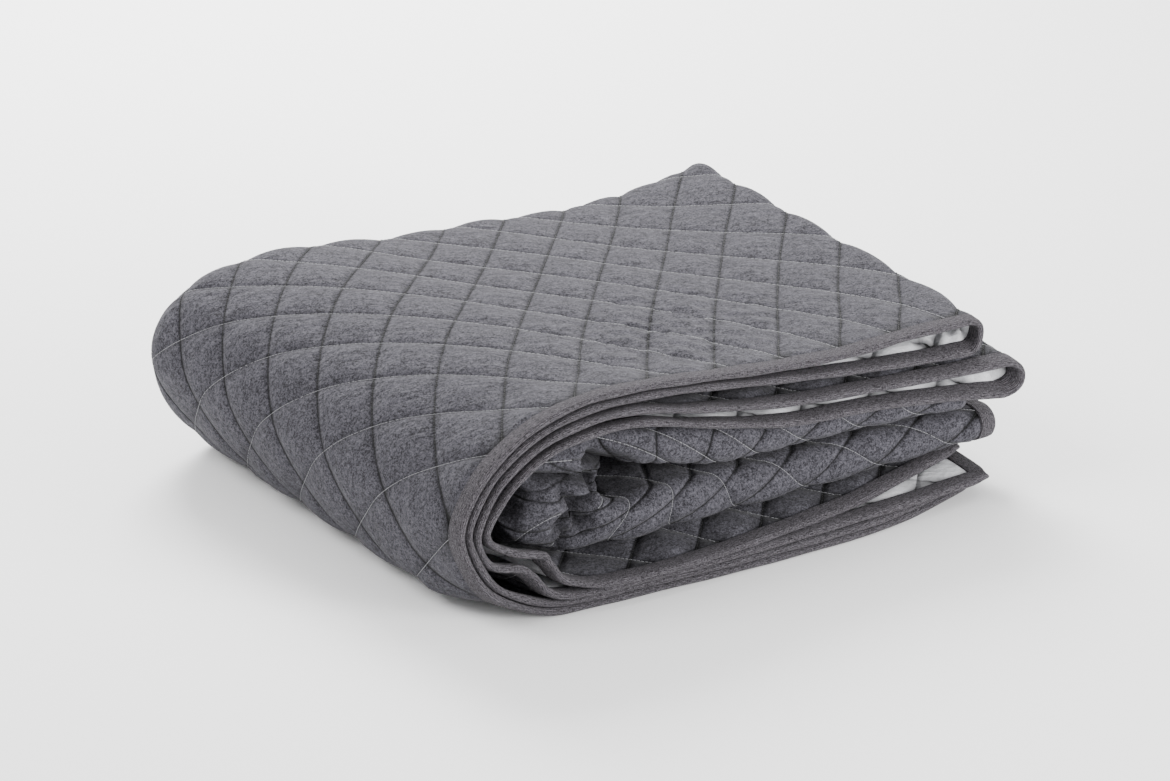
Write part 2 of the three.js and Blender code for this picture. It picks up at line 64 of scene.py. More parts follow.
# Stations of the C, millimetres: x and z of the outer face at the front, behind it and at the back,
# x and z of the inner crease, then the depth of each layer from the outside in.
section = np.array([
    (285, 0, 285, 0, 285, 0, 285, 80, 3.5, 12, 21, 34, 42.5, 52, 63.5, 75),
    (150, 0, 150, 0, 150, 0, 160, 86, 3.5, 12, 20.5, 29, 39.5, 52.5, 67, 81),
    (0, 0, 0, 0, 0, 0, 40, 88, 3.5, 12, 20.5, 29, 41.5, 57, 73.5, 90),
    (-130, 0, -130, 0, -135, 0, -50, 92, 3.5, 12, 20.5, 29, 49, 71.5, 94, 116),
    (-200, 0, -207, 0, -218, 0, -88, 94, 3.5, 12.5, 21.5, 33, 64, 90, 115, 140),
    (-245, 3, -270, 0, -278, 0, -106, 95, 4, 13.5, 26, 48, 76, 104, 131, 158),
    (-285, 20, -313, 9, -316, 7, -120, 96, 4.5, 14, 34, 60, 86, 115, 144, 172),
    (-317, 43, -340, 32, -346, 36, -132, 98, 4.5, 14, 31, 52, 82, 116, 150, 183),
    (-340, 80, -352, 74, -373, 78, -141, 102, 4.5, 14, 25, 43, 78, 115, 152, 189),
    (-349, 112, -354, 113, -384, 120, -144, 108, 4.5, 14, 25, 40, 75, 114, 154, 194),
    (-338, 145, -341, 147, -372, 155, -140, 115, 5, 15, 26, 40, 72, 110, 149, 189),
    (-310, 180, -310, 178, -343, 186, -132, 119, 5, 15, 26, 41, 70, 106, 142, 178),
    (-262, 212, -260, 202, -294, 205, -120, 121, 6, 17, 28, 43, 70, 100, 130, 160),
    (-200, 228, -199, 213, -229, 211, -100, 119, 6.5, 18, 30, 47, 70, 94, 118, 141),
    (-140, 227, -138, 213, -160, 204, -70, 112, 6, 17, 30, 47, 70, 90, 109, 128),
    (-70, 218, -70, 207, -84, 192, -20, 99, 4.5, 14, 37, 57, 72, 89, 107, 125),
    (40, 203, 40, 198, 30, 184, 55, 92, 4.5, 17.5, 43, 66, 76, 86, 96, 106),
    (140, 195, 140, 192, 135, 173, 140, 90, 4.5, 25, 46, 67, 76, 84, 92, 100),
    (230, 196, 230, 191, 228, 174, 225, 86, 4.5, 39, 56, 82, 88, 94, 99.5, 105),
    (300, 193, 300, 190, 310, 186, 300, 83, 4.5, 44, 58, 94, 98, 101.5, 105, 108),
]) / 1000

# How far right each layer reaches, millimetres: upper turn at the front and behind, lower end the same.
reach = np.array([
    (282, 302, 303, 290), (282, 302, 303, 293), (325, 316, 297, 300), (325, 316, 293, 305),
    (275, 316, 333, 312), (275, 316, 333, 314), (272, 314, 333, 316), (272, 314, 333, 318),
]) / 1000

# Front edges along the C: the place, then y of the outer pair, the third and the fourth layer.
frontEdges = np.array([
    (0, -272, -303, -250), (0.04, -290, -306, -266), (0.08, -305, -309, -281), (0.12, -312, -310, -294),
    (0.22, -309, -310, -309), (0.3, -300, -304, -310), (0.4, -290, -294, -298), (0.5, -285, -286, -287),
    (0.65, -282, -288, -289), (1, -275, -288, -288),
]) * (1, 0.001, 0.001, 0.001)

# Crumple of the front edges along the C: the place, then how much deeper the third and the fourth layer lie.
crumple = np.array([
    (0, 0, 0), (0.33, 0, 0), (0.37, -1, -2), (0.398, -1, -7), (0.42, 9, 4), (0.436, 13, 18), (0.458, -3, 6),
    (0.48, -3, -8), (0.505, 0, -4), (0.53, 0, 0), (1, 0, 0),
]) * (1, 0.001, 0.001)

levels = np.arange(fold["layers"]) + 0.5
stations = np.concatenate(([0], np.cumsum(np.hypot(*np.diff(section[:, :2], axis=0).T))))
stations = stations / stations[-1]

# The runs of the sheet across its width, in their order.
topRun, outerBend, deepRun, rollBend, middleRun, innerBend, underRun = range(7)


def ease(t):
    k = np.clip(t, 0, 1)
    return k * k * (3 - 2 * k)


def mix(a, b, t):
    return a + (b - a) * t


# 0 at the first of two places, 1 at the second.
def ramp(value, places):
    return ease((value - places[0]) / (places[1] - places[0]))


# A smooth curve through values at uneven knots; values may hold one column for each point.
def curve(knots, values, at):
    knots, values = np.asarray(knots, float), np.asarray(values, float)
    last = len(knots) - 1
    x = np.clip(at, knots[0], knots[last])
    i = np.clip(np.searchsorted(knots, x, side="left") - 1, 0, last - 1)
    low = np.maximum(np.arange(last + 1) - 1, 0)
    high = np.minimum(np.arange(last + 1) + 1, last)
    span = knots[high] - knots[low]
    if values.ndim == 1:
        slopes = (values[high] - values[low]) / span
        a, b, slopeA, slopeB = values[i], values[i + 1], slopes[i], slopes[i + 1]
    else:
        slopes = (values[high] - values[low]) / span[:, None]
        n = np.arange(values.shape[1])
        a, b, slopeA, slopeB = values[i, n], values[i + 1, n], slopes[i, n], slopes[i + 1, n]
    h = knots[i + 1] - knots[i]
    t = (x - knots[i]) / h
    t2, t3 = t * t, t * t * t
    return ((2 * t3 - 3 * t2 + 1) * a + (t3 - 2 * t2 + t) * h * slopeA
            + (3 * t2 - 2 * t3) * b + (t3 - t2) * h * slopeB)


# The outer face, from the front edge over the body to the back folds.
def outerFace(along, settled, rear):
    x, z = [[curve(stations, section[:, k + first], along) for k in (0, 2, 4)] for first in (0, 1)]
    front, body, back = [np.stack(pair, 1) for pair in zip(x, z)]
    return mix(mix(front, body, settled[:, None]), back, rear[:, None])


# A point of the C: along runs from its lower end to its upper one, level from 0 outside to 8 inside.
def sectionPoint(along, level, y):
    settled = np.clip((y - fold["settleFrom"]) / (fold["settleTo"] - fold["settleFrom"]), 0, 1)
    rear = np.clip((y - fold["settleTo"]) / (fold["backY"] - fold["settleTo"]), 0, 1)
    outer = outerFace(along, settled, rear)
    inner = np.stack((curve(stations, section[:, 6], along), curve(stations, section[:, 7], along)), 1)
    across = inner - outer
    total = np.hypot(across[:, 0], across[:, 1])
    arm = np.maximum(ease((fold["loopFrom"] - along) / fold["armBlend"]),
                     ease((along - fold["loopTo"]) / fold["armBlend"]))
    shares = np.arange(fold["layers"]) / (fold["layers"] - 1)
    depths = []
    for k, share in enumerate(shares):
        evenly = mix(fold["topDepth"], total - fold["topDepth"], share)
        depths.append(mix(curve(stations, section[:, 8 + k], along), evenly, settled * arm))
    for k in (2, 3):
        depths[k] = depths[k] + (1 - settled) * curve(crumple[:, 0], crumple[:, k - 1], along)
    knots = np.concatenate(([0], levels, [fold["layers"]]))
    deep = curve(knots, np.stack([np.zeros_like(total), *depths, total]), level)
    lean = 1 - (1 - np.clip(deep / total, 0, 1)) ** 2
    step = fold["tangentStep"]
    before, after = np.maximum(along - step, 0), np.minimum(along + step, 1)
    tangent = outerFace(after, settled, rear) - outerFace(before, settled, rear)
    tangent /= np.hypot(tangent[:, 0], tangent[:, 1])[:, None]
    square = np.stack((tangent[:, 1], -tangent[:, 0]), 1)
    point = outer + square * (deep * (1 - lean))[:, None] + across / total[:, None] * (deep * lean)[:, None]
    upper = ease((along - fold["loopTo"]) / (1 - fold["loopTo"])) ** 2
    lower = ease((fold["loopFrom"] - along) / fold["loopFrom"]) ** 2
    ends = [curve(levels, reach[:, k], level) for k in range(4)]
    point[:, 0] += upper * (mix(ends[0], ends[1], settled) - fold["upperX"])
    point[:, 0] += lower * (mix(ends[2], ends[3], settled) - fold["lowerX"])
    return point


# Lengths of the runs across the width, one row each, and the y of the first front edge and of the roll.
def runLengths(along, side):
    edges = [curve(frontEdges[:, 0], frontEdges[:, k], along) for k in (1, 2, 3)]
    first, last = edges[0], mix(edges[2], edges[1], side + 0.5)
    back, r = fold["backY"], fold["radius"]
    roll = fold["rollY"] + 2 * r
    one = np.ones_like(along)
    lengths = np.stack([back - first, 3 * np.pi * r * one, (back - roll) * one,
                        fold["rollLength"] * one, (back - roll) * one, np.pi * r * one, back - last])
    return lengths, first, roll


# Which run a place v across the width is in, and its y and level in the bundle.
def acrossPoint(v, along, side):
    lengths, first, roll = runLengths(along, side)
    ends = np.cumsum(lengths, 0)
    rest = v / sheet["width"] * ends[-1]
    run = np.minimum((rest[None] > ends).sum(0), underRun)
    pick = np.arange(len(v))
    local = rest - (ends - lengths)[run, pick]
    angle = local / lengths[run, pick] * np.pi
    s, c = np.sin(angle), np.cos(angle)
    back, r = fold["backY"], fold["radius"]
    y = np.choose(run, [first + local, back + (3 - side) * r * s, back - local, roll - (1 - side) * r * s,
                        roll + local, back + (1 + side) * r * s, back - local])
    level = np.choose(run, [1 + side, 4 - (3 - side) * c, 7 - side, 6 + (1 - side) * c,
                            5 + side, 4 + (1 + side) * c, 3 - side])
    return run, y, level


def bundlePoint(v, along, side):
    run, y, level = acrossPoint(v, along, side)
    flat = sectionPoint(along, level, y)
    return np.stack((flat[:, 0], y, flat[:, 1]), 1)


# How a place u along the length is doubled: its share of the way round the C, its side and its turn.
def doubled(u):
    fromTurn = u - fold["half"]
    angle = np.clip(fromTurn / fold["turn"], -1, 1) * np.pi / 2
    along = np.clip((fold["half"] - np.abs(fromTurn)) / (fold["half"] - fold["turn"]), 0, 1)
    bulge = np.where(np.abs(fromTurn) < fold["turn"], fold["bulge"] * np.cos(angle), 0)
    return along, 0.5 * np.sin(angle), bulge


def foldedMiddle(u, v):
    along, side, bulge = doubled(u)
    point = bundlePoint(v, along, side)
    turning = bulge > 0
    if turning.any():
        half = np.full(turning.sum(), 0.5)
        wide = bundlePoint(v[turning], along[turning], -half) - bundlePoint(v[turning], along[turning], half)
        point[turning, 0] += bulge[turning] * np.linalg.norm(wide, axis=1)
    return point + np.array(fold["origin"])


# The middle of the sheet at (u, v), carried on straight past its cut edges.
def sheetMiddle(u, v):
    insideU, insideV = np.clip(u, 0, sheet["length"]), np.clip(v, 0, sheet["width"])
    edge = foldedMiddle(insideU, insideV)
    outU, outV = u - insideU, v - insideV
    beyond = (outU != 0) | (outV != 0)
    if beyond.any():
        step = 0.001
        uIn, vIn = insideU[beyond], insideV[beyond]
        alongU = (edge[beyond] - foldedMiddle(uIn - step * np.sign(outU[beyond]), vIn)) / step
        alongV = (edge[beyond] - foldedMiddle(uIn, vIn - step * np.sign(outV[beyond]))) / step
        edge[beyond] += alongU * np.abs(outU[beyond])[:, None] + alongV * np.abs(outV[beyond])[:, None]
    return edge


def unit(vectors):
    return vectors / np.maximum(np.linalg.norm(vectors, axis=1), 1e-12)[:, None]


def sheetNormal(u, v, step=0.0006):
    alongU = sheetMiddle(u + step, v) - sheetMiddle(u - step, v)
    alongV = sheetMiddle(u, v + step) - sheetMiddle(u, v - step)
    return unit(np.cross(alongU, alongV))


# Lattice coordinates: stitch lines run where either is a whole number. They drift where the top has settled.
def lattice(u, v):
    a, b = u / sheet["diamondU"], v / sheet["diamondV"]
    plain = (a + b + sheet["phaseA"], a - b + sheet["phaseB"])
    x, y = [(np.clip(at, drift["low"][k], drift["high"][k]) - drift["middle"][k]) / drift["scale"][k]
            for k, at in enumerate((u, v))]
    shown = ramp(u, drift["shownU"]) * ramp(v, drift["shownV"]) * (u < fold["half"])
    return [base + shown * sum(c * x ** i * y ** j for c, (i, j) in zip(drift[name], drift["powers"]))
            for base, name in zip(plain, ("lineA", "lineB"))]


# How the sheet puffs up between its stitch lines, and where: places in y, along the C or by level.
quilting = {
    "trough": 0.0022, "shoulder": 0.0085, "outside": 1.05, "backFlat": 0.4, "parted": 0.8,
    "inside": 0.75, "tightLoss": 0.65, "grooveLoss": 0.5, "faceSide": 0.3,
    "frontY": (-0.190, -0.250), "tightFrom": (0.36, 0.42), "tightTo": (0.63, 0.57),
    "upperArm": (0.70, 0.80), "lowerArm": (0.32, 0.26), "partedY": (-0.215, -0.245),
    "backY": (0.14, 0.22), "backEnd": (0.92, 0.82), "grooveLevel": (6.4, 7.2), "besideBinding": (-0.001, 0.005),
}
# Wrinkles inside the first fold, then near the front of the top: swing, pace and start of each wander.
wrinkle = {
    "pitch": 0.021, "height": 0.0060, "reach": 0.095, "fade": 1.4, "wander": ((1.6, 47), (0.9, 17)),
    "topHeight": 0.0017, "topPlace": (1.06, 0.13), "topReach": (0.12, 0.10), "topWaves": 2.4,
    "topWander": ((0.30, 5.6, 0), (0.17, 14.3, 1)),
}


# Distance from the nearest stitch line of one family.
def lineDistance(place):
    return np.abs(place - np.round(place)) * sheet["lineGap"]


# 0 on the stitch lines, towards 1 in the middle of each puff: a rounded trough, then full shoulders.
def pillow(u, v):
    full = np.ones_like(u)
    for place in lattice(u, v):
        away = np.sqrt(lineDistance(place) ** 2 + quilting["trough"] ** 2) - quilting["trough"]
        full = full * (1 - np.exp(-away / quilting["shoulder"]))
    return full


def edgeDistance(u, v):
    return np.minimum(np.minimum(u, sheet["length"] - u), np.minimum(v, sheet["width"] - v))


# The front roll, and the face where it lies outside.
def inRoll(run):
    return (run >= deepRun) & (run <= middleRun)


def onFace(run, side):
    return (run <= outerBend) & (side < quilting["faceSide"])


# How freely the sheet can puff up: fully where it lies outside, less between layers, least in the tight bend
# of the roll, and more behind the bound edges where the upper layers part.
def freedom(u, v):
    along, side, bulge = doubled(u)
    run, y, level = acrossPoint(v, along, side)
    tight = ramp(along, quilting["tightFrom"]) * ramp(along, quilting["tightTo"]) * inRoll(run)
    upper = ramp(along, quilting["upperArm"]) * ((run == topRun) | (run == underRun))
    lower = ramp(along, quilting["lowerArm"]) * ((run == underRun) & (side < 0))
    parted = np.maximum(upper, lower) * ramp(y, quilting["partedY"])
    groove = 1 - quilting["grooveLoss"] * ramp(level, quilting["grooveLevel"])
    inside = (quilting["inside"] - quilting["tightLoss"] * tight) * groove * ramp(y, quilting["frontY"])
    inside = inside + quilting["parted"] * parted
    flatter = 1 - quilting["backFlat"] * ramp(y, quilting["backY"]) * ramp(along, quilting["backEnd"])
    return np.where(onFace(run, side), quilting["outside"] * flatter, inside), parted


# The back wrinkles on the inside of the first fold.
def turnWrinkles(u, v):
    away = u - fold["half"]
    wander = sum(swing * np.sin(v * pace) for swing, pace in wrinkle["wander"])
    waves = 0.5 + 0.5 * np.cos(2 * np.pi * away / wrinkle["pitch"] + wander)
    return wrinkle["height"] * ease(wrinkle["fade"] * (1 - np.abs(away) / wrinkle["reach"])) * waves


# Wavy wrinkles beside the stitch lines where the top has slid together, near its front.
def topWrinkles(u, v):
    lineA, lineB = lattice(u, v)
    (placeU, placeV), (reachU, reachV) = wrinkle["topPlace"], wrinkle["topReach"]
    near = np.exp(-((u - placeU) / reachU) ** 2 - ((v - placeV) / reachV) ** 2)
    wander = sum(swing * np.sin(pace * lineB + start) for swing, pace, start in wrinkle["topWander"])
    return wrinkle["topHeight"] * near * np.sin(2 * np.pi * (wrinkle["topWaves"] * lineA + wander))


# The two cloths; crease is the strength of the painted shade along their stitch lines.
faceCloth = {
    "name": "face_cloth_quilted", "slot": "face_jersey",
    "stitchHeight": 0.0008, "puff": 0.0050, "pressedPuff": 0.0018, "edge": 0.0017,
    "dark": (0.0122, 0.0116, 0.0142), "light": (0.090, 0.087, 0.102), "contrast": 6.0, "roughness": 0.93,
    "crease": 1.0, "rowStep": 0.0047, "hiddenRowStep": 0.0078, "turnStep": 0.0052,
}
backCloth = {
    "name": "back_cloth_quilted", "slot": "back_jersey",
    "stitchHeight": 0.0006, "puff": 0.0040, "pressedPuff": 0.0012, "edge": 0.0016,
    "dark": (0.40, 0.40, 0.415), "light": (0.74, 0.74, 0.765), "contrast": 2.2, "roughness": 0.92,
    "crease": 0.4, "rowStep": 0.0075, "hiddenRowStep": 0.0090, "turnStep": 0.0036,
}


def clothHeight(cloth, u, v):
    free, parted = freedom(u, v)
    if cloth is backCloth:
        free = np.maximum(free, parted * (1 + quilting["parted"]))
        wrinkles = turnWrinkles(u, v)
    else:
        wrinkles = topWrinkles(u, v)
    puff = mix(cloth["pressedPuff"], cloth["puff"], free)
    height = cloth["stitchHeight"] + puff * pillow(u, v) + wrinkles
    fromBinding = edgeDistance(u, v) - binding["width"]
    return mix(cloth["edge"], height, ramp(fromBinding, quilting["besideBinding"]))


# Creases placed where the front roll bends back at the left, millimetres: how far each goes in
# (a ridge comes out), its half width, then x and z along it.
rollCreases = (
    (26, 6, ((-234, 137), (-202, 130), (-167, 118))),
    (24, 6, ((-165, 114), (-173, 98), (-191, 99), (-208, 115))),
    (28, 8, ((-202, 88), (-192, 94), (-183, 74))),
    (16, 5, ((-208, 80), (-203, 66), (-208, 54))),
    (9, 4, ((-217, 81), (-215, 74), (-219, 68))),
    (48, 10, ((-254, 122), (-261, 111), (-270, 103))),
    (40, 10, ((-175, 144), (-154, 133), (-134, 123))),
    (-10, 5, ((-246, 127), (-250, 110), (-257, 95))),
    (-10, 6, ((-186, 160), (-187, 131))),
    (-8, 6, ((-164, 138), (-165, 120))),
    (-10, 8, ((-214, 101), (-200, 97))),
    (-12, 10, ((-197, 114), (-177, 110))),
)
# Where the roll's front takes the creases, and the push at which their painted shade is darkest.
rollFront = {"y": (-0.196, -0.246), "level": (4.0, 4.8), "darkest": 0.022}


# Distance from a line of places in the plane.
def awayFrom(line, x, z):
    away = np.full_like(x, np.inf)
    for (x0, z0), (x1, z1) in zip(line[:-1], line[1:]):
        t = np.clip(((x - x0) * (x1 - x0) + (z - z0) * (z1 - z0)) / ((x1 - x0) ** 2 + (z1 - z0) ** 2), 0, 1)
        away = np.minimum(away, np.hypot(x - x0 - t * (x1 - x0), z - z0 - t * (z1 - z0)))
    return away


# How far the front of the roll is pushed in by the creases at its left bend.
def creased(u, v, point, creases=rollCreases):
    along, side, bulge = doubled(u)
    run, y, level = acrossPoint(v, along, side)
    x, z = [(point[:, k] - fold["origin"][k]) * 1000 for k in (0, 2)]
    front = ramp(y, rollFront["y"]) * ramp(level, rollFront["level"]) * inRoll(run)
    push = sum(deep * np.exp(-awayFrom(line, x, z) / wide) for deep, wide, line in creases)
    return front * push / 1000


# A place above the middle of the sheet, pushed in where the roll is creased and kept off the ground.
def clothPoint(u, v, height):
    point = sheetMiddle(u, v) + sheetNormal(u, v) * height[:, None]
    point[:, 1] += creased(u, v, point) * np.where(height < 0, fold["backPush"], 1)
    point[:, 2] = np.maximum(point[:, 2], fold["offGround"])
    return point


# How the cloths are sampled: steps along each run, its usual length and the shares of it that show.
sampling = {
    "edgeStep": 0.0042, "rollStep": 0.0046, "hiddenTop": 0.026, "hiddenRun": 0.028, "hiddenBend": 0.009,
    "innerBend": 0.006, "turn": 0.0026, "fineFrom": 0.36, "edgeBand": 0.17, "rollBand": 0.13,
    "faceRun": 0.53, "innerRun": 0.46, "outerBendRun": 0.108, "innerBendRun": 0.036,
}


# Shares of each run at which a row of the sheet is sampled: fine where it shows.
def rowPattern(fineTop, cloth):
    topStep = cloth["rowStep"] if fineTop else sampling["hiddenTop"]
    bendStep = cloth["rowStep"] if fineTop else sampling["hiddenBend"]
    edgeStep, rollStep, hidden = sampling["edgeStep"], sampling["rollStep"], sampling["hiddenRun"]
    edgeBand, rollBand = sampling["edgeBand"], sampling["rollBand"]
    faceRun, innerRun = sampling["faceRun"], sampling["innerRun"]
    spans = (
        (topRun, 0, edgeBand, faceRun, edgeStep), (topRun, edgeBand, 1, faceRun, topStep),
        (outerBend, 0, 1, sampling["outerBendRun"], bendStep),
        (deepRun, 0, 1 - rollBand, innerRun, hidden), (deepRun, 1 - rollBand, 1, innerRun, rollStep),
        (rollBend, 0, 1, fold["rollLength"], edgeStep),
        (middleRun, 0, rollBand, innerRun, rollStep), (middleRun, rollBand, 1, innerRun, hidden),
        (innerBend, 0, 1, sampling["innerBendRun"], sampling["innerBend"]),
        (underRun, 0, 1 - edgeBand, faceRun, hidden), (underRun, 1 - edgeBand, 1, faceRun, edgeStep),
    )
    keys = []
    for run, start, stop, length, step in spans:
        count = max(int(round((stop - start) * length / step)), 1)
        keys += [(run, start + (stop - start) * k / count) for k in range(count)]
    return np.array(keys + [(underRun, 1.0)])


# Places along the length at which a row lies, and which rows are fine on the top.
def rowPlaces(cloth):
    half, turn, near = fold["half"], fold["turn"], wrinkle["reach"]
    fineFrom, hidden = sampling["fineFrom"], cloth["hiddenRowStep"]
    spans = [(0, fineFrom, hidden), (fineFrom, half - near, cloth["rowStep"]),
             (half - near, half - turn, cloth["turnStep"]), (half - turn, half + turn, sampling["turn"]),
             (half + turn, half + near, cloth["turnStep"]), (half + near, sheet["length"], hidden)]
    places = [np.linspace(a, b, max(int(round((b - a) / step)), 1), endpoint=False) for a, b, step in spans]
    places = np.concatenate(places + [[sheet["length"]]])
    return places, (places >= fineFrom) & (places <= half + turn)


# One open cloth: vertices on a grid whose columns follow the folds, with sheet coordinates for its texture.
def makeCloth(cloth, facing):
    places, fine = rowPlaces(cloth)
    patterns = {True: rowPattern(True, cloth), False: rowPattern(False, cloth)}
    rowU, rowV, rowKey, starts = [], [], [], [0]
    for u, isFine in zip(places, fine):
        keys = patterns[bool(isFine)]
        along, side, bulge = doubled(np.array([u]))
        lengths = runLengths(along, side)[0][:, 0]
        begins = np.concatenate(([0], np.cumsum(lengths)))
        run = keys[:, 0].astype(int)
        v = (begins[run] + keys[:, 1] * lengths[run]) / begins[-1] * sheet["width"]
        rowU.append(np.full(len(v), u))
        rowV.append(np.clip(v, 0, sheet["width"]))
        rowKey.append(keys[:, 0] + keys[:, 1])
        starts.append(starts[-1] + len(v))
    u, v = np.concatenate(rowU), np.concatenate(rowV)
    height = clothHeight(cloth, u, v) * facing
    points = clothPoint(u, v, height)
    faces = []
    for r in range(len(places) - 1):
        near, far = rowKey[r], rowKey[r + 1]
        a, b = starts[r], starts[r + 1]
        if len(near) == len(far):
            i = np.arange(len(near) - 1)
            faces.append(np.stack((a + i, b + i, b + i + 1, a + i + 1), 1))
            continue
        i = j = 0
        while i + 1 < len(near) or j + 1 < len(far):
            stepNear = j + 1 >= len(far) or (i + 1 < len(near) and near[i + 1] <= far[j + 1])
            corner = a + i + 1 if stepNear else b + j + 1
            faces.append(np.array([(a + i, b + j, corner, corner)]))
            i, j = (i + 1, j) if stepNear else (i, j + 1)
    faces = np.concatenate(faces)
    if facing < 0:
        faces = faces[:, ::-1]
    lineA, lineB = lattice(u, v)
    # The push of the creases, kept as the share of painted shade in them.
    pinchShade = np.clip(creased(u, v, points) / rollFront["darkest"], 0, 1)
    return makeMesh(cloth["name"], points, faces, np.stack((u, v), 1),
                    {"lineA": lineA, "lineB": lineB, "fromEdge": edgeDistance(u, v), "pinchShade": pinchShade})


# A mesh from arrays; a face whose last two corners are the same is a triangle.
def makeMesh(name, points, faces, uv, attributes=None):
    mesh = bpy.data.meshes.new(name)
    if faces.shape[1] == 4:
        repeated = (faces[:, 2] == faces[:, 3]) | (faces[:, 0] == faces[:, 1])
        listed = [tuple(dict.fromkeys(face)) if flat else tuple(face)
                  for face, flat in zip(faces.tolist(), repeated.tolist())]
    else:
        listed = faces.tolist()
    mesh.from_pydata(points.tolist(), [], listed)
    mesh.update()
    loops = np.empty(len(mesh.loops), np.int32)
    mesh.loops.foreach_get("vertex_index", loops)
    layer = mesh.uv_layers.new(name="sheet")
    layer.data.foreach_set("uv", uv[loops].astype(np.float32).ravel())
    for title, values in (attributes or {}).items():
        mesh.attributes.new(title, "FLOAT", "POINT").data.foreach_set("value", values.astype(np.float32))
    mesh.polygons.foreach_set("use_smooth", np.ones(len(mesh.polygons), bool))
    piece = bpy.data.objects.new(name, mesh)
    bpy.context.scene.collection.objects.link(piece)
    return piece


binding = {
    "name": "edge_binding_knit", "slot": "binding_knit", "width": 0.015, "lift": 0.0040, "nose": 0.0046,
    "noseSteps": 7, "step": 0.0050, "turnStep": 0.0022, "ripple": 0.10,
    "blunt": 0.004, "bluntReach": 0.020, "bluntWidth": 0.006,
    "dark": (0.0120, 0.0105, 0.0125), "light": (0.124, 0.115, 0.128), "contrast": 4.6, "roughness": 0.95,
}


# Places once round the cut edge: u, v and the direction in which the sheet lies.
def edgePlaces():
    length, width, step = sheet["length"], sheet["width"], binding["step"]
    half, turn = fold["half"], fold["turn"]
    spans = ((0, half - turn, step), (half - turn, half + turn, binding["turnStep"]),
             (half + turn, length, step))
    alongU = np.concatenate([np.linspace(a, b, int(round((b - a) / s)), endpoint=False) for a, b, s in spans])
    alongV = np.linspace(0, width, int(round(width / step)), endpoint=False)
    zero = np.zeros_like
    u = np.concatenate((alongU, np.full(len(alongV), length), length - alongU, zero(alongV)))
    v = np.concatenate((zero(alongU), alongV, np.full(len(alongU), width), width - alongV))
    du = (u <= 1e-9) * 1.0 - (u >= length - 1e-9) * 1.0
    dv = (v <= 1e-9) * 1.0 - (v >= width - 1e-9) * 1.0
    return u, v, du, dv


# The strip's section from its face edge round the nose to its back edge: inset and height.
def bindingSection():
    lift, wide = binding["lift"], binding["width"]
    face = [(wide + 0.0002, lift * 0.45), (wide, lift * 0.86), (wide - 0.0012, lift),
            (wide * 0.55, lift * 1.06), (0.002, lift * 1.04)]
    turn = np.linspace(0, np.pi, binding["noseSteps"] + 1)[1:-1]
    nose = [(-binding["nose"] * math.sin(t), lift * math.cos(t)) for t in turn]
    return np.array(face + nose + [(inset, -height) for inset, height in reversed(face)])


def makeBinding():
    u, v, du, dv = edgePlaces()
    rows = bindingSection()
    count, size = len(u), len(rows)
    fromCorner = np.maximum(np.minimum(u, sheet["length"] - u), np.minimum(v, sheet["width"] - v))
    nearCorner = ease(1 - fromCorner / binding["bluntReach"])[:, None]
    nearNose = ease(1 - rows[None, :, 0] / binding["bluntWidth"])
    inset = rows[None, :, 0] + nearCorner * binding["blunt"] * nearNose
    gridU = u[:, None] + du[:, None] * inset
    gridV = v[:, None] + dv[:, None] * inset
    ripple = 1 + binding["ripple"] * np.sin(2 * np.pi * (u + v) / sheet["diamondU"])[:, None]
    height = rows[None, :, 1] * ripple
    points = clothPoint(gridU.ravel(), gridV.ravel(), height.ravel())
    k = np.arange(count)
    m = np.arange(size - 1)
    here, there = (k * size)[:, None], (((k + 1) % count) * size)[:, None]
    faces = np.stack((here + m, here + m + 1, there + m + 1, there + m), 2).reshape(-1, 4)
    distance = np.concatenate(([0], np.cumsum(np.hypot(np.diff(u), np.diff(v)))))
    across = np.concatenate(([0], np.cumsum(np.hypot(*np.diff(rows, axis=0).T))))
    uv = np.stack(np.broadcast_arrays(distance[:, None], across[None]), 2).reshape(-1, 2)
    return makeMesh(binding["name"], points, faces, uv)


thread = {
    "name": "quilting_thread", "slot": "stitch_thread", "pitch": 0.0040, "length": 0.0046, "spare": 0.12,
    "width": 0.00040, "height": 0.00045, "lift": 0.0002, "lostBelow": 0.005, "colour": (0.175, 0.175, 0.184),
}
seam = {
    "name": "binding_seam_thread", "slot": "stitch_thread", "pitch": 0.0036, "length": 0.0029, "inset": 0.0130,
    "width": 0.00045, "height": 0.0004, "lift": -0.0001, "colour": (0.030, 0.029, 0.031),
}
# One stitch: shares of its length, how far its ends sink in, and its triangles.
stitch = {
    "shares": (0.0, 0.22, 0.78, 1.0), "sunk": 0.0002, "offGround": 0.0003,
    "faces": ((0, 2, 1), (0, 3, 2), (1, 2, 5), (1, 5, 4), (2, 3, 6), (2, 6, 5), (4, 5, 7), (5, 6, 7)),
}


# The nearest place on a piece, and the way out of it.
def grounded(tree, points):
    hits = [tree.find_nearest(point) for point in points.tolist()]
    return np.array([tuple(hit[0]) for hit in hits]), np.array([tuple(hit[1]) for hit in hits])


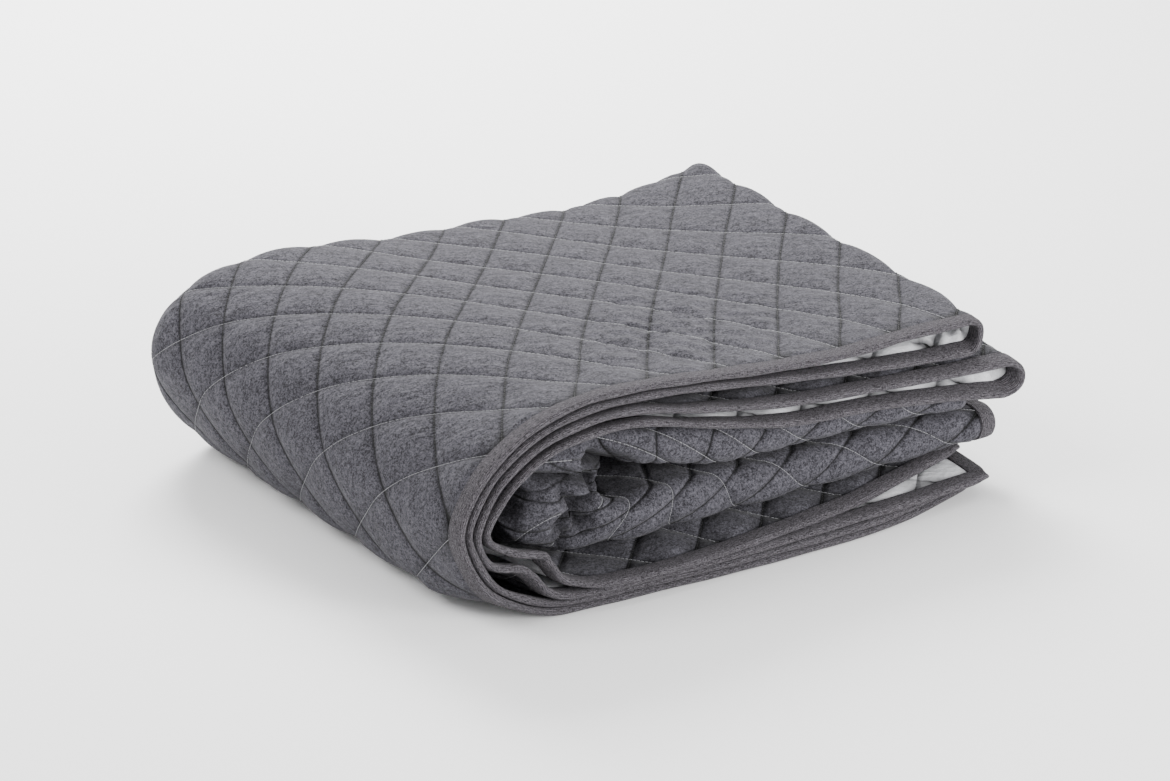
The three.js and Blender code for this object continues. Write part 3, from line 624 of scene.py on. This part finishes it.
# Short raised stitches between pairs of places on a piece.
def makeStitches(style, ground, start, stop, heights, tone):
    tree = BVHTree.FromPolygons([tuple(vertex.co) for vertex in ground.data.vertices],
                                [tuple(polygon.vertices) for polygon in ground.data.polygons])
    ends = []
    for share in stitch["shares"]:
        u, v = mix(start, stop, share).T
        ends.append(grounded(tree, clothPoint(u, v, heights(u, v))))
    forward = unit(ends[-1][0] - ends[0][0])
    rings = []
    for k, (base, outward) in enumerate(ends):
        if k in (0, len(ends) - 1):
            rings.append(base - outward * stitch["sunk"])
            continue
        aside = unit(np.cross(outward, forward)) * style["width"]
        low = base + outward * style["lift"]
        rings += [low - aside, low + outward * style["height"], low + aside]
    count, size = len(start), len(rings)
    points = np.stack(rings, 1).reshape(-1, 3)
    faces = (np.arange(count)[:, None, None] * size + np.array(stitch["faces"])[None]).reshape(-1, 3)
    points[:, 2] = np.maximum(points[:, 2], stitch["offGround"])
    uv = np.repeat(start, size, axis=0)
    # The tone attribute gives the thread's share of painted light.
    return makeMesh(style["name"], points, faces, uv, {"tone": np.repeat(tone, size)})


# Stitches along every line of both families, kept where the face shows. Each line is followed from one edge
# to the other by solving for v at even steps of u.
def quiltingStitches(ground):
    starts, stops, paintedLightTones = [], [], []
    inset = binding["width"]
    stepU = thread["pitch"] / math.hypot(1, sheet["diamondV"] / sheet["diamondU"])
    u = np.arange(inset, sheet["length"] - inset, stepU)
    lastLine = math.ceil(sheet["length"] / sheet["diamondU"] + sheet["width"] / sheet["diamondV"]) + 2
    for family, sign in ((0, 1), (1, -1)):
        phase = (sheet["phaseA"], sheet["phaseB"])[family]
        for line in range(-lastLine, lastLine + 1):
            v = sign * (line - phase - u / sheet["diamondU"]) * sheet["diamondV"]
            near = (v > -thread["spare"]) & (v < sheet["width"] + thread["spare"])  # a line may drift in
            at, across = u[near], v[near]
            for attempt in range(4):
                across = across + sign * (line - lattice(at, across)[family]) * sheet["diamondV"]
            inside = (across > inset) & (across < sheet["width"] - inset)
            place = np.stack((at[inside], across[inside]), 1)
            if len(place) < 3:
                continue
            ahead = place[1:] - place[:-1]
            whole = np.hypot(*ahead.T) < 4 * thread["pitch"]  # none across a gap
            starts.append(place[:-1][whole])
            stops.append(place[:-1][whole] + ahead[whole] * thread["length"] / thread["pitch"])
            # The first family's thread takes painted light, the second's painted shade.
            paintedLightTones.append(np.full(int(whole.sum()), 1.0 - family))
    start, stop, tone = np.concatenate(starts), np.concatenate(stops), np.concatenate(paintedLightTones)
    folds = [crease for crease in rollCreases if crease[0] > 0]
    sunk = creased(*start.T, sheetMiddle(*start.T), folds) > thread["lostBelow"]
    shown = showing(*start.T) & ~sunk
    start, stop, tone = start[shown], stop[shown], tone[shown]
    return makeStitches(thread, ground, start, stop, lambda u, v: clothHeight(faceCloth, u, v), tone)


seen = {"sideAlong": 0.25, "rollY": -0.165, "edgeY": -0.21, "edge": 0.085, "turn": 0.06, "end": 0.05}


# Where the dark face can be seen from outside the bundle.
def showing(u, v):
    along, side, bulge = doubled(u)
    run, y, level = acrossPoint(v, along, side)
    outside = onFace(run, side) & (along > seen["sideAlong"])
    roll = (y < seen["rollY"]) & inRoll(run) & (side < 0)
    frontEdge = (edgeDistance(u, v) < seen["edge"]) & (y < seen["edgeY"])
    turn = np.abs(u - fold["half"]) < seen["turn"]
    ends = np.minimum(u, sheet["length"] - u) < seen["end"]
    return outside | roll | frontEdge | turn | ends


# Stitches once round the binding, a little inside its edge.
def seamStitches(ground):
    u, v, du, dv = edgePlaces()
    distance = np.concatenate(([0], np.cumsum(np.hypot(np.roll(u, -1) - u, np.roll(v, -1) - v))))
    total, inset = distance[-1], seam["inset"]
    at = np.arange(0, total, seam["pitch"])
    ends = []
    for offset in (0, seam["length"]):
        where = (at + offset) % total
        atU = np.interp(where, distance, np.append(u, u[0]))
        atV = np.interp(where, distance, np.append(v, v[0]))
        ends.append(np.stack((np.clip(atU, inset, sheet["length"] - inset),
                              np.clip(atV, inset, sheet["width"] - inset)), 1))
    start, stop = ends
    moved = np.hypot(*(stop - start).T)
    kept = (moved > seam["length"] * 0.5) & (moved < seam["length"] * 2)  # none across a corner
    start, stop = start[kept], stop[kept]
    onBinding = lambda u, v: np.full(len(u), binding["lift"])
    return makeStitches(seam, ground, start, stop, onBinding, np.ones(len(start)))


# Shader sockets with arithmetic; any other node is made by node().
class Wire:
    def __init__(self, tree, socket=None):
        self.tree, self.socket = tree, socket

    def node(self, kind, settings=None, inputs=None, output=0):
        made = self.tree.nodes.new(kind)
        for name, value in (settings or {}).items():
            setattr(made, name, value)
        for name, value in (inputs or {}).items():
            if isinstance(value, Wire):
                self.tree.links.new(value.socket, made.inputs[name])
            else:
                made.inputs[name].default_value = value
        return Wire(self.tree, made.outputs[output])

    def math(self, operation, first, second):
        return self.node("ShaderNodeMath", {"operation": operation}, {0: first, 1: second})

    def __add__(self, other):
        return self.math("ADD", self, other)

    def __radd__(self, other):
        return self.math("ADD", other, self)

    def __sub__(self, other):
        return self.math("SUBTRACT", self, other)

    def __rsub__(self, other):
        return self.math("SUBTRACT", other, self)

    def __mul__(self, other):
        return self.math("MULTIPLY", self, other)

    def __rmul__(self, other):
        return self.math("MULTIPLY", other, self)

    def __truediv__(self, other):
        return self.math("DIVIDE", self, other)

    def __rtruediv__(self, other):
        return self.math("DIVIDE", other, self)

    def limit(self):
        return self.node("ShaderNodeClamp", None, {0: self})

    # 1 on a line and nothing beyond a width from it.
    def near(self, width):
        left = (1 - self / width).limit()
        return left * left

    def scaled(self, factors):
        return self.node("ShaderNodeVectorMath", {"operation": "MULTIPLY"}, {0: self, 1: factors})

    def noise(self, scale, detail=2.0, roughness=0.6):
        return self.node("ShaderNodeTexNoise", None, {
            "Vector": self, "Scale": scale, "Detail": detail, "Roughness": roughness})

    def blend(self, dark, light):
        return self.node("ShaderNodeMix", {"data_type": "RGBA"}, {0: self, 6: dark, 7: light}, 2)

    def dimmed(self, share):
        return self.node("ShaderNodeVectorMath", {"operation": "SCALE"}, {0: self, "Scale": share})

    def attribute(self, name):
        return self.node("ShaderNodeAttribute", {"attribute_name": name}, None, "Fac")


def opaque(colour):
    return (*colour, 1.0)


def startMaterial(name, roughness, sheen, sheenRoughness=0.5, specular=0.15):
    material = bpy.data.materials.new(name)
    material.use_nodes = True
    tree = material.node_tree
    shader = tree.nodes["Principled BSDF"]
    shader.inputs["Roughness"].default_value = roughness
    shader.inputs["Sheen Weight"].default_value = sheen
    shader.inputs["Sheen Roughness"].default_value = sheenRoughness
    shader.inputs["Specular IOR Level"].default_value = specular
    return material, Wire(tree), shader


def feed(shader, name, source):
    source.tree.links.new(source.socket, shader.inputs[name])


# Marl: scale, detail, roughness and share of each noise. Then widths and strengths of the painted shade beside
# the stitch lines, in the notches at the bound edges and in the roll's creases, and heights for the bump.
marl = {
    "grain": (900, 2.0, 0.75, 0.36), "fleck": (430, 3.0, 0.7, 0.40), "mottle": (170, 2.0, 0.6, 0.18),
    "cloud": (52, 2.0, 0.5, 0.06), "middle": 0.45, "sheen": 0.04,
    # Painted shade along the stitch lines, faded in places by a noise, and broad painted shade beside them.
    "creaseShadeA": 0.26, "creaseShadeB": 1.0, "creaseShadeWidth": 0.0036, "creaseShadeVariation": (34, 2.0, 0.6), "creaseShadeGain": 1.8,
    "creaseShadeLoss": 0.1, "shadeA": 0.05, "shadeB": 0.06, "shadeWidth": 0.014,
    # Painted shade in the notches at the bound edges, then where the roll is pinched in.
    "notchShade": 0.96, "notchShadeWidth": 0.021, "notchShadeLength": 0.032, "pinchShade": 0.7,
    "pucker": 0.9, "puckerWidth": 0.022, "puckerAcross": 2.5, "puckerAlong": 8.0,
    "puckerNoise": (1.0, 2.0, 0.5),
    "streak": 1.5, "streakAngle": 0.594, "streakScale": (17, 76, 76), "streakNoise": (1.0, 3.0, 0.6),
    "crinkle": 2.0, "crinkleNoise": (58, 3.0, 0.55), "dip": 2.0, "dipWidth": 0.0075,
    "grainHeight": 0.16, "fleckHeight": 0.26, "bumpStrength": 0.8, "bumpDistance": 0.0014,
}


# Brushed marl jersey: grains, flecks and clouds, with painted shade in the creases, puckered beside the stitch
# lines.
def jersey(cloth, name):
    material, base, shader = startMaterial(name, cloth["roughness"], marl["sheen"])
    place = base.node("ShaderNodeTexCoord", None, None, "Object")
    noises = {key: place.noise(*marl[key][:3]) for key in ("grain", "fleck", "mottle", "cloud")}
    tone = sum(noise * marl[key][3] for key, noise in noises.items())
    shade = ((tone - 0.5) * cloth["contrast"] + marl["middle"]).limit()
    lineA, lineB = base.attribute("lineA"), base.attribute("lineB")
    awayA, awayB = [base.math("PINGPONG", line, 0.5) * sheet["lineGap"] for line in (lineA, lineB)]
    # Painted shade in the troughs of the stitch lines, faded in places by a noise, then broad painted shade
    # beside them.
    creaseShadeVariation = (place.noise(*marl["creaseShadeVariation"]) * marl["creaseShadeGain"] - marl["creaseShadeLoss"]).limit()
    fine, broad, wide = marl["creaseShadeWidth"], marl["shadeWidth"], marl["notchShadeWidth"]
    crease = awayA.near(fine) * marl["creaseShadeA"] + awayB.near(fine) * marl["creaseShadeB"]
    crease = crease * creaseShadeVariation * cloth["crease"]
    crease = crease + awayA.near(broad) * marl["shadeA"] + awayB.near(broad) * marl["shadeB"]
    # Painted shade in the notches where the stitch lines meet the bound edges.
    fromEdge = base.attribute("fromEdge") - binding["width"]
    notchShade = (awayA.near(wide) + awayB.near(wide)).limit()
    crease = crease + notchShade * fromEdge.near(marl["notchShadeLength"]) * marl["notchShade"]
    # Painted shade where the roll is pinched in; the colour is dimmed by all of it.
    crease = (crease + base.attribute("pinchShade") * marl["pinchShade"]).limit()
    colour = shade.blend(opaque(cloth["dark"]), opaque(cloth["light"]))
    feed(shader, "Base Color", colour.dimmed(1 - crease))
    pucker = 0.0
    for across, along, away in ((lineA, lineB, awayA), (lineB, lineA, awayB)):
        places = {0: across * marl["puckerAcross"], 1: along * marl["puckerAlong"], 2: 0.0}
        ripples = base.node("ShaderNodeCombineXYZ", None, places).noise(*marl["puckerNoise"])
        pucker = pucker + ripples * away.near(marl["puckerWidth"])
    slanted = base.node("ShaderNodeVectorRotate", {"rotation_type": "Z_AXIS"}, {
        "Vector": place, "Angle": marl["streakAngle"]})
    streaks = slanted.scaled(marl["streakScale"]).noise(*marl["streakNoise"])
    crinkle = place.noise(*marl["crinkleNoise"]) + streaks * marl["streak"]
    dip = awayA.near(marl["dipWidth"]) + awayB.near(marl["dipWidth"])
    height = noises["grain"] * marl["grainHeight"] + noises["fleck"] * marl["fleckHeight"]
    height = height + crinkle * marl["crinkle"] + pucker * marl["pucker"] - dip * marl["dip"]
    bump = base.node("ShaderNodeBump", None, {
        "Strength": marl["bumpStrength"], "Distance": marl["bumpDistance"], "Height": height})
    feed(shader, "Normal", bump)
    return material


# Knit: how far each noise is drawn out along and across the strip, and the share of each in tone and bump.
knitting = {
    "streakScale": (170, 900, 0), "streakNoise": (1.0, 3.0, 0.7), "streak": 0.55, "streakHeight": 0.8,
    "grainScale": (620, 680, 0), "grainNoise": (1.0, 2.0, 0.7), "grain": 0.45, "grainHeight": 0.4,
    "rowScale": (60, 185, 0), "rowHeight": 0.8, "distortion": 1.2, "middle": 0.42, "sheen": 0.04,
    "bumpStrength": 0.8, "bumpDistance": 0.0012,
}


# Knitted strip: speckled rows that run along it.
def knit():
    material, base, shader = startMaterial("binding_knit", binding["roughness"], knitting["sheen"])
    uv = base.node("ShaderNodeUVMap", {"uv_map": "sheet"})
    streak = uv.scaled(knitting["streakScale"]).noise(*knitting["streakNoise"])
    grain = uv.scaled(knitting["grainScale"]).noise(*knitting["grainNoise"])
    tone = streak * knitting["streak"] + grain * knitting["grain"]
    shade = ((tone - 0.5) * binding["contrast"] + knitting["middle"]).limit()
    feed(shader, "Base Color", shade.blend(opaque(binding["dark"]), opaque(binding["light"])))
    rows = base.node("ShaderNodeTexWave", {"bands_direction": "Y"}, {
        "Vector": uv.scaled(knitting["rowScale"]), "Scale": 1.0, "Distortion": knitting["distortion"],
        "Detail": 1.0}, "Fac")
    height = rows * knitting["rowHeight"] + streak * knitting["streakHeight"]
    height = height + grain * knitting["grainHeight"]
    bump = base.node("ShaderNodeBump", None, {
        "Strength": knitting["bumpStrength"], "Distance": knitting["bumpDistance"], "Height": height})
    feed(shader, "Normal", bump)
    return material


# Thread: the share of its colour in painted shade and in painted light, and how little the noise may dim it.
twist = {"roughness": 0.7, "sheen": 0.1, "noise": (420, 1.0), "least": 0.6, "dark": 0.06, "light": 1.35}


# Thread in painted shade where the tone is low and in painted light where it is high, varied by a noise.
def yarn(style, name):
    material, base, shader = startMaterial(name, twist["roughness"], twist["sheen"])
    place = base.node("ShaderNodeTexCoord", None, None, "Object")
    shade = base.attribute("tone") * (place.noise(*twist["noise"]) * (1 - twist["least"]) + twist["least"])
    dark = tuple(c * twist["dark"] for c in style["colour"])
    light = tuple(min(c * twist["light"], 1.0) for c in style["colour"])
    feed(shader, "Base Color", shade.blend(opaque(dark), opaque(light)))
    return material


def finishPiece(piece, material, slot, *nodes):
    piece.data.materials.append(material)
    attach(piece, "root")
    if nodes:
        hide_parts(*nodes)


print("scene: cloths")
facePiece = makeCloth(faceCloth, 1)
backPiece = makeCloth(backCloth, -1)
print("scene: binding")
bindingPiece = makeBinding()
print("scene: stitches")
threadPiece = quiltingStitches(facePiece)
seamPiece = seamStitches(bindingPiece)

print("scene: materials")
finishPiece(facePiece, jersey(faceCloth, "face_marl"), faceCloth["slot"], "face_cloth")
finishPiece(backPiece, jersey(backCloth, "back_jersey"), backCloth["slot"], "back_cloth")
finishPiece(bindingPiece, knit(), binding["slot"], "edge_binding")
finishPiece(threadPiece, yarn(thread, "stitch_thread"), thread["slot"])
finishPiece(seamPiece, yarn(seam, "seam_thread"), seam["slot"])
for piece in (facePiece, backPiece, bindingPiece, threadPiece, seamPiece):
    print("scene:", piece.name, sum(len(p.vertices) - 2 for p in piece.data.polygons), "triangles")


camera = {
    "azimuth": -34.08, "elevation": 23.77, "distance": 7.007, "lens": 200, "sensor": 36, "clipEnd": 100,
    "target": (0.115245, 0.171290, 0.0),
}
# Studio lights: name, place, size in metres and watts.
lights = (
    ("key", (0.7, 2.0, 1.8), 1.3, 185),
    ("front", (1.2, -3.0, 0.9), 1.2, 165),
    ("left", (-2.3, 0.6, 2.6), 1.5, 95),
)
stage = {
    "floorSide": 12.0, "floorColour": (0.95, 0.95, 0.95), "floorRoughness": 0.9, "lit": (0, 0, 0.1),
    "worldColour": (1, 1, 1), "world": 1.0,
}


def makeFloor():
    mesh = bpy.data.meshes.new("floor")
    side = stage["floorSide"]
    corners = [(-side, -side, 0), (side, -side, 0), (side, side, 0), (-side, side, 0)]
    mesh.from_pydata(corners, [], [(0, 1, 2, 3)])
    floor = bpy.data.objects.new("floor", mesh)
    bpy.context.scene.collection.objects.link(floor)
    material, base, shader = startMaterial("floor", stage["floorRoughness"], 0.0)
    shader.inputs["Base Color"].default_value = opaque(stage["floorColour"])
    mesh.materials.append(material)


def makeLight(name, place, size, power):
    data = bpy.data.lights.new(name, "AREA")
    data.size, data.energy = size, power
    lamp = bpy.data.objects.new(name, data)
    bpy.context.scene.collection.objects.link(lamp)
    lamp.location = place
    aim(lamp, stage["lit"])


def aim(thing, target):
    direction = Vector(target) - thing.location
    thing.rotation_euler = direction.to_track_quat("-Z", "Y").to_euler()


def makeCamera():
    a, e = math.radians(camera["azimuth"]), math.radians(camera["elevation"])
    back = np.array([math.sin(a) * math.cos(e), -math.cos(a) * math.cos(e), math.sin(e)])
    data = bpy.data.cameras.new("camera")
    data.lens, data.sensor_width, data.sensor_fit = camera["lens"], camera["sensor"], "HORIZONTAL"
    data.clip_end = camera["clipEnd"]
    eye = bpy.data.objects.new("camera", data)
    bpy.context.scene.collection.objects.link(eye)
    eye.location = np.array(camera["target"]) + back * camera["distance"]
    aim(eye, camera["target"])
    bpy.context.scene.camera = eye


print("scene: stage")
makeFloor()
makeCamera()
for light in lights:
    makeLight(*light)
world = bpy.data.worlds.new("studio")
world.use_nodes = True
background = world.node_tree.nodes["Background"]
background.inputs["Color"].default_value = opaque(stage["worldColour"])
background.inputs["Strength"].default_value = stage["world"]
bpy.context.scene.world = world
